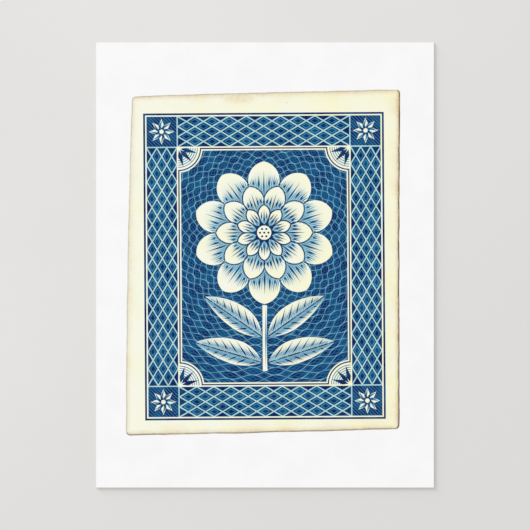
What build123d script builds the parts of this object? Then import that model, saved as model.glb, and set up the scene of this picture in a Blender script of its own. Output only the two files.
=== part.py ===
from build123d import *
import os
from math import hypot, pi, sin, tan
from typing import NamedTuple

# An upright picture postcard: a board of bonded plies with a coated face, and the ink printed on both sides.
# It lies picture side up. The origin is the middle of the back face, +X runs to the picture's right,
# +Y to its top and +Z out of its face. All sizes are in millimetres, and angles in degrees.

# Trimmed card
CARD_WIDTH = 107.95
CARD_HEIGHT = 142.24

# Thickness of the board's layers, from the back
BACK_PLY = 0.110
CORE_PLY = 0.210
FACE_PLY = 0.115
FACE_COATING = 0.022

# Ink: it soaks into the bare back, and lies on the coated face, the tint first and the lines on the tint
BACK_INK_DEPTH = 0.012
TINT_FILM = 0.006
LINE_FILM = 0.010

# Writing side, read with the card's right-hand side up
DIVIDER_MARGIN = 8.0
DIVIDER_LINE = 0.35
ADDRESS_COUNT = 4
ADDRESS_PITCH = 9.5
ADDRESS_LINE = 0.25
ADDRESS_END_MARGIN = 7.0
ADDRESS_FOOT_MARGIN = 13.0
POSTAGE_WIDTH = 21.0
POSTAGE_HEIGHT = 25.0
POSTAGE_LINE = 0.25
POSTAGE_MARGIN = 7.0

# Cream tint: how far each corner of it stands in from the card's side and from the card's end,
# and how far the middle of each side of it stands out from the line between its corners
TOP_LEFT_SIDE_INSET = 11.3
TOP_LEFT_END_INSET = 17.1
TOP_RIGHT_SIDE_INSET = 10.6
TOP_RIGHT_END_INSET = 15.0
BOTTOM_RIGHT_SIDE_INSET = 10.8
BOTTOM_RIGHT_END_INSET = 18.7
BOTTOM_LEFT_SIDE_INSET = 9.4
BOTTOM_LEFT_END_INSET = 16.7
TOP_BOW = 0.25
RIGHT_BOW = -0.22
BOTTOM_BOW = 0.16
LEFT_BOW = 0.42
TINT_CORNER_RADIUS = 1.3
TONING_WIDTH = 0.55

# Blue frame, from its outside in. It stands a little low and turned on the tint, as a hand-fed sheet prints.
FRAME_SIDE_MARGIN = 5.0
FRAME_END_MARGIN = 5.2
FRAME_DROP = 1.2
FRAME_TURN = 0.4
OUTER_RULE = 0.60
RULE_GAP = 0.45
BAND_WIDTH = 9.6
INNER_RULE = 0.40

# Lattice of the band, and the stars of its corner blocks
LATTICE_ROWS = 3
LATTICE_LINE = 0.42
END_CELL_COUNT = 10
SIDE_CELL_COUNT = 14
STAR_RAYS = 8
STAR_MARGIN = 0.7
STAR_RAY_WIDTH = 1.5
STAR_HUB_RADIUS = 0.75

# Fans in the panel's cut-in corners
INDENT_RADIUS = 7.0
FAN_RAYS = 3
FAN_RAY_WIDTH = 1.5
FAN_MARGIN = 0.8

# Motif: a blossom with its stem and leaves, drawn at its own size and fitted into the panel
MOTIF_MARGIN = 3.6

# Blossom: three rings of petals about a disc, each ring over the one outside it.
# A petal's crown is the stretch from its widest place to its tip.
BLOSSOM_RADIUS = 22.9
PETAL_COUNT = 10
PETAL_LINE = 0.42
OUTER_CROWN = 6.0
OUTER_BASE_RADIUS = 8.6
MIDDLE_TIP_RADIUS = 15.4
MIDDLE_CROWN = 4.3
MIDDLE_BASE_RADIUS = 4.8
INNER_TIP_RADIUS = 8.8
INNER_CROWN = 2.6
DISC_RADIUS = 2.3
STIPPLE_RADIUS = 0.36
STIPPLE_SIDES = 8
STIPPLE_RING_RADIUS = 1.35
STIPPLE_COUNT = 6

# Engraved strokes that shade the petals: they end short of the tip, the outer ones further short
OUTER_STROKE_COUNT = 5
MIDDLE_STROKE_COUNT = 5
INNER_STROKE_COUNT = 3
STROKE_WIDTH = 0.44
STROKE_CLEARANCE = 0.06
STROKE_LEAST = 1.2
STROKE_TIP_SHARE = 0.20
STROKE_STEP_SHARE = 0.11

# Stem and leaves
STEM_WIDTH = 1.5
STEM_LENGTH = 21.1
LEAF_LENGTH = 22.1
LEAF_SHOULDER = 9.0
LEAF_MIDRIB = 0.42
LEAF_UPPER_DEPTH = 4.4
LEAF_LOWER_DEPTH = 2.9
LOW_LEAF_RISE = 2.8
LOW_LEAF_ANGLE = 17.0
HIGH_LEAF_RISE = 11.2
HIGH_LEAF_ANGLE = 35.0
VEIN_COUNT = 6
VEIN_START = 1.8
VEIN_PITCH = 3.0
VEIN_LENGTH = 6.4
VEIN_WIDTH = 0.46
VEIN_SLANT = 40.0

# Where things come in the stack
FACE_LEVEL = BACK_PLY + CORE_PLY + FACE_PLY + FACE_COATING
TINT_LEVEL = FACE_LEVEL + TINT_FILM

# The tint's corners and sides, clockwise from the top left, and the middle and mean size of the tint
half_width = CARD_WIDTH / 2
half_height = CARD_HEIGHT / 2
TINT_CORNERS = [
    Vector(TOP_LEFT_SIDE_INSET - half_width, half_height - TOP_LEFT_END_INSET),
    Vector(half_width - TOP_RIGHT_SIDE_INSET, half_height - TOP_RIGHT_END_INSET),
    Vector(half_width - BOTTOM_RIGHT_SIDE_INSET, BOTTOM_RIGHT_END_INSET - half_height),
    Vector(BOTTOM_LEFT_SIDE_INSET - half_width, BOTTOM_LEFT_END_INSET - half_height),
]
TINT_BOWS = [TOP_BOW, RIGHT_BOW, BOTTOM_BOW, LEFT_BOW]
top_left, top_right, bottom_right, bottom_left = TINT_CORNERS
TINT_MIDDLE = (top_left + top_right + bottom_right + bottom_left) / 4
TINT_WIDTH = (top_right.X + bottom_right.X - top_left.X - bottom_left.X) / 2
TINT_HEIGHT = (top_left.Y + top_right.Y - bottom_left.Y - bottom_right.Y) / 2

# The frame's own place, and its size at each rule
FRAME_PLACE = Pos(TINT_MIDDLE.X, TINT_MIDDLE.Y - FRAME_DROP) * Rot(0, 0, FRAME_TURN)
FRAME_WIDTH = TINT_WIDTH - 2 * FRAME_SIDE_MARGIN
FRAME_HEIGHT = TINT_HEIGHT - 2 * FRAME_END_MARGIN
BAND_INSET = OUTER_RULE + RULE_GAP
INNER_RULE_INSET = BAND_INSET + BAND_WIDTH + RULE_GAP
INNER_WIDTH = FRAME_WIDTH - 2 * INNER_RULE_INSET
INNER_HEIGHT = FRAME_HEIGHT - 2 * INNER_RULE_INSET
PANEL_INSET = INNER_RULE + RULE_GAP
PANEL_WIDTH = INNER_WIDTH - 2 * PANEL_INSET
PANEL_HEIGHT = INNER_HEIGHT - 2 * PANEL_INSET

# The motif, from the blossom's top to the stem's foot, and how much it is enlarged to fit the panel
MOTIF_HEIGHT = 2 * BLOSSOM_RADIUS + PETAL_LINE + STEM_LENGTH
BLOSSOM_PLACE = Pos(0, MOTIF_HEIGHT / 2 - BLOSSOM_RADIUS)
STEM_FOOT = -MOTIF_HEIGHT / 2
WIDTH_FIT = (PANEL_WIDTH - 2 * MOTIF_MARGIN) / (2 * BLOSSOM_RADIUS)
HEIGHT_FIT = (PANEL_HEIGHT - 2 * MOTIF_MARGIN) / MOTIF_HEIGHT
MOTIF_FIT = min(WIDTH_FIT, HEIGHT_FIT)


class Ring(NamedTuple):
    """A ring of petals by its radii, a petal's crown and strokes, and the turn of its first petal."""

    base: float
    tip: float
    crown: float
    strokes: int
    turn: float

    def widest(self):
        """The radius at which a petal is widest."""
        return self.tip - self.crown

    def depth(self):
        """Half a petal's width there, which leaves one line between neighbours."""
        return self.widest() * sin(pi / PETAL_COUNT) - PETAL_LINE / 2

    def places(self):
        """The turns that put a petal drawn along +X at each place of the ring, the first upwards."""
        return [Rot(0, 0, 90 + self.turn + step * 360 / PETAL_COUNT) for step in range(PETAL_COUNT)]


# The rings from the outside in. Every second one is turned by half a petal.
RINGS = [
    Ring(OUTER_BASE_RADIUS, BLOSSOM_RADIUS, OUTER_CROWN, OUTER_STROKE_COUNT, 0),
    Ring(MIDDLE_BASE_RADIUS, MIDDLE_TIP_RADIUS, MIDDLE_CROWN, MIDDLE_STROKE_COUNT, 180 / PETAL_COUNT),
    Ring(DISC_RADIUS + PETAL_LINE, INNER_TIP_RADIUS, INNER_CROWN, INNER_STROKE_COUNT, 0),
]


def film(faces, thickness, level, place=Location()):
    """Lays flat shapes as separate films of one thickness, from a level up."""
    laid = Pos(0, 0, level) * place
    return Compound([(laid * extrude(face, amount=thickness, dir=(0, 0, 1))).solid() for face in faces])


def sheet(thickness, level):
    """A layer of the board, as large as the trimmed card."""
    return Pos(0, 0, level) * extrude(Rectangle(CARD_WIDTH, CARD_HEIGHT), amount=thickness)


def fitted(faces):
    """Flat shapes of the motif, enlarged about its middle to fit the panel."""
    return scale(Compound(list(faces)), by=MOTIF_FIT).faces()


def rule(width, height, line):
    """A rectangular frame of one line, drawn inside the given size."""
    return (Rectangle(width, height) - Rectangle(width - 2 * line, height - 2 * line)).face()


def indented(inset):
    """The inner rule's outline, or one parallel to it further in, with its corners cut in round."""
    cut = Circle(INDENT_RADIUS + inset)
    corners = [place * cut for place in GridLocations(INNER_WIDTH, INNER_HEIGHT, 2, 2)]
    return (Rectangle(INNER_WIDTH - 2 * inset, INNER_HEIGHT - 2 * inset) - corners).face()


def kite(root, tip, width):
    """A ray or an engraved stroke: widest a third of the way from its root to its tip."""
    along = tip - root
    widest = root + along / 3
    side = along.normalized().rotate(Axis.Z, 90) * (width / 2)
    return Polygon(root, widest + side, tip, widest - side, align=None).face()


def strokes_inside(lines, window, width):
    """Strokes along what a window leaves of some lines, clear of its edge, without the shortest."""
    clear = offset(window, -(STROKE_CLEARANCE + width / 2))
    faces = []
    for line in lines:
        open_line = line & clear
        for run in open_line.edges() if open_line else []:
            root, tip = sorted([run @ 0, run @ 1], key=lambda end: (end - line @ 0).length)
            if run.length > STROKE_LEAST:
                faces.append(kite(root, tip, width))
    return faces


def bow(start, widest, end, depth, low):
    """Half the outline of a petal or leaf along +X: two arcs that meet level at the widest place."""
    top = (widest, low + depth)
    return [TangentArc(top, (start, low), tangent=(-1, 0)), TangentArc(top, (end, low), tangent=(1, 0))]


def lattice_run(length, cells):
    """The diamond cells of one straight run of the band, along X, with half cells at its edges."""
    half_pitch = length / cells / 2
    half_rise = BAND_WIDTH / LATTICE_ROWS / 2
    slant = hypot(half_pitch, half_rise)
    reach_x = half_pitch - LATTICE_LINE / 2 * slant / half_rise
    reach_y = half_rise - LATTICE_LINE / 2 * slant / half_pitch
    columns, rows = 2 * cells, 2 * LATTICE_ROWS
    faces = []
    for column in range(columns + 1):
        for row in range(1 - column % 2, rows + 1, 2):
            middle = Vector(column * half_pitch - length / 2, row * half_rise - BAND_WIDTH / 2)
            corners = [
                middle - Vector(reach_x if column > 0 else 0, 0),
                middle + Vector(0, reach_y if row < rows else 0),
                middle + Vector(reach_x if column < columns else 0, 0),
                middle - Vector(0, reach_y if row > 0 else 0),
            ]
            faces.append(Polygon(*[c for c in corners if c != middle], align=None).face())
    return faces


def lattice_cells():
    """The lattice of all four sides of the band, short of the corner blocks by one lattice line."""
    taken = 2 * (BAND_INSET + BAND_WIDTH + LATTICE_LINE)
    middle = BAND_INSET + BAND_WIDTH / 2
    end_run = lattice_run(FRAME_WIDTH - taken, END_CELL_COUNT)
    side_run = lattice_run(FRAME_HEIGHT - taken, SIDE_CELL_COUNT)
    faces = []
    for side in (-1, 1):
        faces += [Pos(0, side * (FRAME_HEIGHT / 2 - middle)) * face for face in end_run]
        faces += [Pos(side * (FRAME_WIDTH / 2 - middle), 0) * Rot(0, 0, 90) * face for face in side_run]
    return faces


def corner_blocks():
    """The band's four corner squares, each with the rays and the hub of a star left bare."""
    tip = BAND_WIDTH / 2 - STAR_MARGIN
    base = STAR_HUB_RADIUS + LATTICE_LINE
    drawn = kite(Vector(base, 0), Vector(tip, 0), STAR_RAY_WIDTH)
    star = [Rot(0, 0, turn * 360 / STAR_RAYS) * drawn for turn in range(STAR_RAYS)]
    hub = RegularPolygon(STAR_HUB_RADIUS, STAR_RAYS)
    block = (Rectangle(BAND_WIDTH, BAND_WIDTH) - [*star, hub]).face()
    middle = BAND_INSET + BAND_WIDTH / 2
    places = GridLocations(FRAME_WIDTH - 2 * middle, FRAME_HEIGHT - 2 * middle, 2, 2)
    return [place * block for place in places]


def corner_fans():
    """A fan of rays in each cut-in corner of the inner rule."""
    drawn = kite(Vector(FAN_MARGIN, 0), Vector(INDENT_RADIUS - FAN_MARGIN, 0), FAN_RAY_WIDTH)
    faces = []
    for quarter, (side, end) in enumerate([(1, 1), (-1, 1), (-1, -1), (1, -1)]):
        corner = Pos(side * INNER_WIDTH / 2, end * INNER_HEIGHT / 2) * Rot(0, 0, 180 + 90 * quarter)
        faces += [corner * Rot(0, 0, (turn + 0.5) * 90 / FAN_RAYS) * drawn for turn in range(FAN_RAYS)]
    return faces


def petal(ring, grow=0):
    """A petal along +X, grown all round by a little, whose sides stop half a line short of its neighbours."""
    upper = bow(ring.base - grow, ring.widest(), ring.tip + grow, ring.depth() + grow, 0)
    lower = [mirror(edge, Plane.XZ) for edge in upper]
    apex = (PETAL_LINE / 2 - grow) / sin(pi / PETAL_COUNT)
    end = ring.tip + grow
    reach = (end - apex) * tan(pi / PETAL_COUNT)
    share = Polygon((apex, 0), (end, reach), (end, -reach), align=None)
    return (make_face([*upper, *lower]) & share).face()


def petal_windows(level):
    """The part of each petal of a ring that the rings over it leave open, one line apart."""
    covers = [place * petal(over, PETAL_LINE) for over in RINGS[level + 1 :] for place in over.places()]
    wholes = [place * petal(RINGS[level]) for place in RINGS[level].places()]
    if not covers:
        return wholes
    return [(whole - covers).faces().sort_by(SortBy.AREA)[-1] for whole in wholes]


def petal_strokes():
    """The engraved lines of every petal."""
    faces = []
    for level, ring in enumerate(RINGS):
        length = ring.tip - ring.base
        pitch = 2 * ring.depth() / (ring.strokes + 1)
        lines = []
        for count in range(ring.strokes):
            away = count - (ring.strokes - 1) / 2
            reach = ring.tip - length * (STROKE_TIP_SHARE + STROKE_STEP_SHARE * abs(away))
            lines.append(Line((ring.base, away * pitch), (reach, away * pitch)))
        for place, window in zip(ring.places(), petal_windows(level)):
            faces += strokes_inside([place * line for line in lines], window, STROKE_WIDTH)
    return fitted(BLOSSOM_PLACE * face for face in faces)


def leaf_half(depth):
    """One half of a leaf along +X, above its midrib."""
    low = LEAF_MIDRIB / 2
    edge = bow(0, LEAF_SHOULDER, LEAF_LENGTH, depth, low)
    return make_face([*edge, Line((0, low), (LEAF_LENGTH, low))]).face()


def half_veins(depth):
    """The side veins of half a leaf, slanting towards its tip."""
    line = Rot(0, 0, VEIN_SLANT) * Line((0, 0), (VEIN_LENGTH, 0))
    lines = [Pos(VEIN_START + vein * VEIN_PITCH, LEAF_MIDRIB / 2) * line for vein in range(VEIN_COUNT)]
    return strokes_inside(lines, leaf_half(depth), VEIN_WIDTH)


def on_leaves(draw):
    """What draw(depth) makes of half a leaf, on both halves of all four leaves."""
    start = STEM_WIDTH / 2 + PETAL_LINE
    upper = draw(LEAF_UPPER_DEPTH)
    lower = [mirror(face, Plane.XZ) for face in draw(LEAF_LOWER_DEPTH)]
    faces = []
    for rise, angle in ((LOW_LEAF_RISE, LOW_LEAF_ANGLE), (HIGH_LEAF_RISE, HIGH_LEAF_ANGLE)):
        place = Pos(start, STEM_FOOT + rise) * Rot(0, 0, angle)
        for face in upper + lower:
            faces.append(place * face)
            faces.append(mirror(place * face, Plane.YZ))
    return fitted(faces)


def panel_ground():
    """The solid blue of the panel, with the petals, disc, stem and leaves left bare."""
    bare = [BLOSSOM_PLACE * face for level in range(len(RINGS)) for face in petal_windows(level)]
    bare.append(BLOSSOM_PLACE * Circle(DISC_RADIUS).face())
    bare.append(Pos(0, STEM_FOOT + STEM_LENGTH / 2) * Rectangle(STEM_WIDTH, STEM_LENGTH).face())
    leaves = on_leaves(lambda depth: [leaf_half(depth)])
    return (Sketch() + indented(PANEL_INSET) - [*fitted(bare), *leaves]).face()


def disc_stipple():
    """Dots that shade the blossom's disc."""
    dot = RegularPolygon(STIPPLE_RADIUS, STIPPLE_SIDES).face()
    around = [place * dot for place in PolarLocations(STIPPLE_RING_RADIUS, STIPPLE_COUNT)]
    return fitted(BLOSSOM_PLACE * face for face in [dot, *around])


def tint_outline():
    """The tint: four uneven sides, each with a slight knee at its middle, and rounded corners."""
    points = []
    for start, end, rise in zip(TINT_CORNERS, TINT_CORNERS[1:] + TINT_CORNERS[:1], TINT_BOWS):
        outward = (end - start).normalized().rotate(Axis.Z, 90)
        points += [start, (start + end) / 2 + outward * rise]
    outline = Polygon(*points, align=None)
    corners = [vertex for vertex in outline.vertices() if vertex.center() in TINT_CORNERS]
    return fillet(corners, TINT_CORNER_RADIUS).face()


def back_print():
    """The divider, the address lines and the postage box of the writing side, as flat shapes by name."""
    divider = Rectangle(CARD_WIDTH - 2 * DIVIDER_MARGIN, DIVIDER_LINE).face()
    address = Rectangle(ADDRESS_LINE, half_height - 2 * ADDRESS_END_MARGIN).face()
    foot = ADDRESS_FOOT_MARGIN - half_width
    box_x = half_width - POSTAGE_MARGIN - POSTAGE_HEIGHT / 2
    box_y = half_height - POSTAGE_MARGIN - POSTAGE_WIDTH / 2
    return {
        "divider_line": [divider],
        "address_lines": [
            Pos(foot + line * ADDRESS_PITCH, half_height / 2) * address for line in range(ADDRESS_COUNT)
        ],
        "postage_box": [Pos(box_x, box_y) * rule(POSTAGE_HEIGHT, POSTAGE_WIDTH, POSTAGE_LINE)],
    }


def board():
    """The plies and the coating, from the back. Ink takes up the back ply's surface where it is printed."""
    layers = {"back_ply": BACK_PLY, "core_ply": CORE_PLY, "face_ply": FACE_PLY, "face_coating": FACE_COATING}
    made, level = {}, 0
    for name, thickness in layers.items():
        made[name] = sheet(thickness, level)
        level += thickness
    inks = {name: film(faces, BACK_INK_DEPTH, 0) for name, faces in back_print().items()}
    made["back_ply"] -= [solid for ink in inks.values() for solid in ink.solids()]
    return made | inks


def face_print():
    """The ink films of the picture side, by name."""
    tint = tint_outline()
    toning = (Sketch() + tint - offset(tint, -TONING_WIDTH)).face()
    lines = {
        "outer_rule": [rule(FRAME_WIDTH, FRAME_HEIGHT, OUTER_RULE)],
        "lattice_cells": lattice_cells(),
        "corner_blocks": corner_blocks(),
        "inner_rule": [(Sketch() + indented(0) - indented(INNER_RULE)).face()],
        "corner_fans": corner_fans(),
        "panel_ground": [panel_ground()],
        "petal_strokes": petal_strokes(),
        "disc_stipple": disc_stipple(),
        "leaf_veins": on_leaves(half_veins),
    }
    made = {
        "cream_tint": film([tint], TINT_FILM, FACE_LEVEL),
        "edge_toning": film([toning], LINE_FILM, TINT_LEVEL),
    }
    for name, faces in lines.items():
        made[name] = film(faces, LINE_FILM, TINT_LEVEL, FRAME_PLACE)
    return made


os.makedirs("parts", exist_ok=True)
for name, shape in (board() | face_print()).items():
    export_step(shape, f"parts/{name}.step")
    print(name, len(shape.solids()), "solids")
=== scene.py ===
"""Dresses a picture postcard: its paper, its cut edges, and the engraved print on its face."""
import logging
from dataclasses import dataclass
from enum import Enum
from itertools import product
from math import atan2, cos, hypot, pi, radians, sin, sqrt

import bmesh
import bpy
from mathutils import Matrix, Vector, noise


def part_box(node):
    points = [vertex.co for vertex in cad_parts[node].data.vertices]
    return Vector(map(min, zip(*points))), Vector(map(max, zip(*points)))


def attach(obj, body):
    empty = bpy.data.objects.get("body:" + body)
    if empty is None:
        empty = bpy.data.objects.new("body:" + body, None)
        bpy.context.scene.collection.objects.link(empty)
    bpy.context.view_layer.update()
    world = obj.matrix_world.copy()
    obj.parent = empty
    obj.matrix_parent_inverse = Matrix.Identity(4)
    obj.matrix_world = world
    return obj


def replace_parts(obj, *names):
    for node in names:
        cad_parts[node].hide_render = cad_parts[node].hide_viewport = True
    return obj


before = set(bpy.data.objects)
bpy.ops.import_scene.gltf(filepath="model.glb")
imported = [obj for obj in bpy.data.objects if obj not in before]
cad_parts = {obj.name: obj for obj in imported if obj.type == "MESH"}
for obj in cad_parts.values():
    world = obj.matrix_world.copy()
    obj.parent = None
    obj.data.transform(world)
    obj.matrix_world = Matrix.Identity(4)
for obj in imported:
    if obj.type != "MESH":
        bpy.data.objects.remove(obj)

log = logging.getLogger("postcard")
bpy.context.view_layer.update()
MM = 0.001
BODY = "root"
Socket = bpy.types.NodeSocket
Material = bpy.types.Material
Piece = bpy.types.Object
Drawing = bmesh.types.BMesh
Colour = tuple[float, float, float]
Stretch = tuple[float, float, float]
Point = tuple[float, float]
Range = tuple[float, float]


class Slot(Enum):
    """The record's slots for the printed inks."""

    CREAM = "cream_ink"
    TONED = "toned_ink"
    BLUE = "blue_ink"


def srgb(red: int, green: int, blue: int) -> Colour:
    """Turns a colour as a screen shows it into the linear one that a shader takes.

    Args:
        red: Red, from 0 to 255.
        green: Green, from 0 to 255.
        blue: Blue, from 0 to 255.

    Returns:
        The linear colour.
    """
    shares = [channel / 255 for channel in (red, green, blue)]
    return tuple(s / 12.92 if s <= 0.04045 else ((s + 0.055) / 1.055) ** 2.4 for s in shares)


class Graph:
    """A material's nodes, with short calls that add a node and give its output."""

    def __init__(self, name: str) -> None:
        """Starts a material with one shader.

        Args:
            name: The material's name.
        """
        self.material = bpy.data.materials.new(name)
        self.material.use_nodes = True
        self.tree = self.material.node_tree
        self.shader = self.tree.nodes["Principled BSDF"]
        self.place = self.tree.nodes.new("ShaderNodeTexCoord").outputs["Object"]

    def put(self, value: Socket | float | Colour, target: Socket) -> None:
        """Links an output to an input, or sets the input to a plain value.

        Args:
            value: An output, a number, or a colour or vector.
            target: The input.
        """
        if isinstance(value, Socket):
            self.tree.links.new(value, target)
        elif isinstance(value, tuple) and len(target.default_value) == 4:
            target.default_value = (*value, 1)
        else:
            target.default_value = value

    def math(self, operation: str, *values: Socket | float) -> Socket:
        """One step of arithmetic.

        Args:
            operation: Blender's name for it, such as MULTIPLY.
            values: Its inputs, in order.

        Returns:
            The result.
        """
        node = self.tree.nodes.new("ShaderNodeMath")
        node.operation = operation
        for value, target in zip(values, node.inputs):
            self.put(value, target)
        return node.outputs[0]

    def length(self, x: Socket, y: Socket) -> Socket:
        """The length of a way across and along the card.

        Args:
            x: The way across the card.
            y: The way along the card.

        Returns:
            The length.
        """
        squares = (self.math("POWER", part, 2) for part in (x, y))
        return self.math("SQRT", self.math("ADD", *squares))

    def spread(self, value: Socket, low: float, high: float,
               start: float = 0, end: float = 1) -> Socket:
        """Maps a range of values smoothly to another range.

        Args:
            value: The value to map.
            low: The value that becomes start.
            high: The value that becomes end.
            start: The result at low and below.
            end: The result at high and above.

        Returns:
            The mapped value.
        """
        node = self.tree.nodes.new("ShaderNodeMapRange")
        node.interpolation_type = "SMOOTHSTEP"
        for target, given in zip(node.inputs, (value, low, high, start, end)):
            self.put(given, target)
        return node.outputs[0]

    def centred(self, x: float, y: float) -> tuple[Socket, Socket]:
        """The place on the card, in millimetres from a point of it.

        Args:
            x: The point's place across the card, in metres.
            y: The point's place along the card, in metres.

        Returns:
            The distances across and along the card.
        """
        apart = self.tree.nodes.new("ShaderNodeSeparateXYZ")
        self.put(self.place, apart.inputs[0])
        return tuple(
            self.math("DIVIDE", self.math("SUBTRACT", apart.outputs[axis], middle), MM)
            for axis, middle in enumerate((x, y))
        )

    def noise(self, size: float, detail: float, stretch: Stretch = (1, 1, 1)) -> Socket:
        """Soft noise on the surface.

        Args:
            size: How large its patches are, in metres.
            detail: How many finer layers it has.
            stretch: How much it is packed along each axis.

        Returns:
            The noise, from 0 to 1 about 0.5.
        """
        mapping = self.tree.nodes.new("ShaderNodeMapping")
        self.put(self.place, mapping.inputs["Vector"])
        self.put(stretch, mapping.inputs["Scale"])
        node = self.tree.nodes.new("ShaderNodeTexNoise")
        self.put(mapping.outputs[0], node.inputs["Vector"])
        self.put(1 / size, node.inputs["Scale"])
        self.put(detail, node.inputs["Detail"])
        return node.outputs[0]

    def mix(self, share: Socket, first: Socket | Colour, second: Socket | Colour) -> Socket:
        """Mixes two colours.

        Args:
            share: How much of the second shows.
            first: The first colour.
            second: The second colour.

        Returns:
            The mixed colour.
        """
        node = self.tree.nodes.new("ShaderNodeMix")
        node.data_type = "RGBA"
        self.put(share, node.inputs[0])
        self.put(first, node.inputs[6])
        self.put(second, node.inputs[7])
        return node.outputs[2]

    def lines(self, phase: Socket, share: float) -> Socket:
        """Soft-edged lines, one in the middle of every whole step of a phase.

        Args:
            phase: The phase, which grows by 1 from line to line.
            share: How much of a step the line takes.

        Returns:
            1 on the lines and 0 between them.
        """
        away = self.math("ABSOLUTE", self.math("SUBTRACT", self.math("FRACT", phase), 0.5))
        return self.spread(away, share / 4, share * 3 / 4, 1, 0)


@dataclass(frozen=True)
class Patches:
    """Soft patches: their size in metres, and which stretch of their noise becomes which shares."""

    size: float
    detail: float
    low: float
    high: float
    least: float = 0.0
    most: float = 1.0

    def share(self, graph: Graph) -> Socket:
        """The patches' share at every place, from least to most."""
        seen = graph.noise(self.size, self.detail)
        return graph.spread(seen, self.low, self.high, self.least, self.most)


@dataclass(frozen=True, kw_only=True)
class Finish:
    """A matte surface with a fine tooth in its relief and its roughness. Lengths in metres."""

    name: str
    tooth: float
    tooth_detail: float
    tooth_depth: float
    tooth_range: Range = (0.2, 0.8)
    roughness: Range
    shine: float
    stretch: Stretch = (1, 1, 1)

    def tones(self, graph: Graph, tooth: Socket) -> Socket:
        """The surface's colour at every place.

        Args:
            graph: The material's nodes.
            tooth: The noise of the tooth.

        Returns:
            The colour.
        """
        raise NotImplementedError

    def material(self) -> Material:
        """Makes the finish's material.

        Returns:
            The material.
        """
        graph = Graph(self.name)
        tooth = graph.noise(self.tooth, self.tooth_detail, self.stretch)
        bump = graph.tree.nodes.new("ShaderNodeBump")
        graph.put(self.tooth_depth, bump.inputs["Distance"])
        graph.put(tooth, bump.inputs["Height"])
        roughness = graph.spread(tooth, *self.tooth_range, *self.roughness)
        graph.put(self.tones(graph, tooth), graph.shader.inputs["Base Color"])
        graph.put(roughness, graph.shader.inputs["Roughness"])
        graph.put(bump.outputs[0], graph.shader.inputs["Normal"])
        graph.put(self.shine, graph.shader.inputs["Specular IOR Level"])
        return graph.material


@dataclass(frozen=True, kw_only=True)
class PaperFinish(Finish):
    """Paper with faint clouds in its colour and a fine tooth."""

    colour: Colour
    shade: Colour
    cloud: float = 9 * MM
    cloud_share: float = 0.65
    tooth: float = 0.35 * MM
    tooth_detail: float = 4
    tooth_depth: float = 0.006 * MM
    fine_range: Range = (0.35, 0.75)
    fine_share: float = 0.35
    roughness: Range = (0.7, 0.86)
    shine: float = 0.04

    def clouds(self, graph: Graph) -> Socket:
        """The clouds in the paper, from 0 to 1."""
        return Patches(self.cloud, detail=5, low=0.3, high=0.7).share(graph)

    def tones(self, graph: Graph, tooth: Socket) -> Socket:
        """The paper's colour, shaded by its clouds and its tooth.

        Args:
            graph: The material's nodes.
            tooth: The noise of the tooth.

        Returns:
            The colour.
        """
        fine = graph.spread(tooth, *self.fine_range, 0, self.fine_share)
        share = graph.math("MULTIPLY_ADD", self.clouds(graph), self.cloud_share, fine)
        return graph.mix(share, self.colour, self.shade)


@dataclass(frozen=True, kw_only=True)
class FloorFinish(PaperFinish):
    """A floor painted darker from the upper left of the picture to its lower right: painted shade,
    light falling off away from the lamp.
    """

    # far: the floor's colour at the lower right, darkened as painted shade away from the lamp.
    far: Colour = srgb(220, 219, 217)
    reach: float = 140.0
    cloud: float = 0.12
    tooth: float = 2 * MM
    tooth_depth: float = 0.002 * MM
    roughness: Range = (0.7, 0.85)

    def tones(self, graph: Graph, tooth: Socket) -> Socket:
        """The floor's colour, with its painted shade towards the lower right, in which its tooth
        doesn't show.

        Args:
            graph: The material's nodes.
            tooth: The noise of the tooth; not used.

        Returns:
            The colour.
        """
        x, y = graph.centred(0, 0)
        # Painted shade: the colour darkens from the upper left to the lower right, away from the
        # lamp.
        share = graph.spread(graph.math("SUBTRACT", x, y), -self.reach, self.reach)
        return graph.mix(share, graph.mix(self.clouds(graph), self.colour, self.shade), self.far)


@dataclass(frozen=True, kw_only=True)
class InkFinish(Finish):
    """A printed ink film: uneven density, and paper tooth that shows through in specks."""

    deep: Colour
    light: Colour
    speck: Colour
    density: Patches = Patches(4 * MM, detail=4, low=0.36, high=0.68)
    tooth: float = 0.28 * MM
    tooth_detail: float = 3
    tooth_depth: float = 0.003 * MM
    speck_range: Range = (0.68, 0.8)
    speck_share: float = 0.35
    roughness: Range = (0.54, 0.74)
    shine: float = 0.05

    def tones(self, graph: Graph, tooth: Socket) -> Socket:
        """The ink's colour.

        Args:
            graph: The material's nodes.
            tooth: The noise of the tooth.

        Returns:
            The colour.
        """
        flecks = graph.spread(tooth, *self.speck_range, 0, self.speck_share)
        ink = graph.mix(self.density.share(graph), self.deep, self.light)
        return graph.mix(flecks, ink, self.speck)


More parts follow.
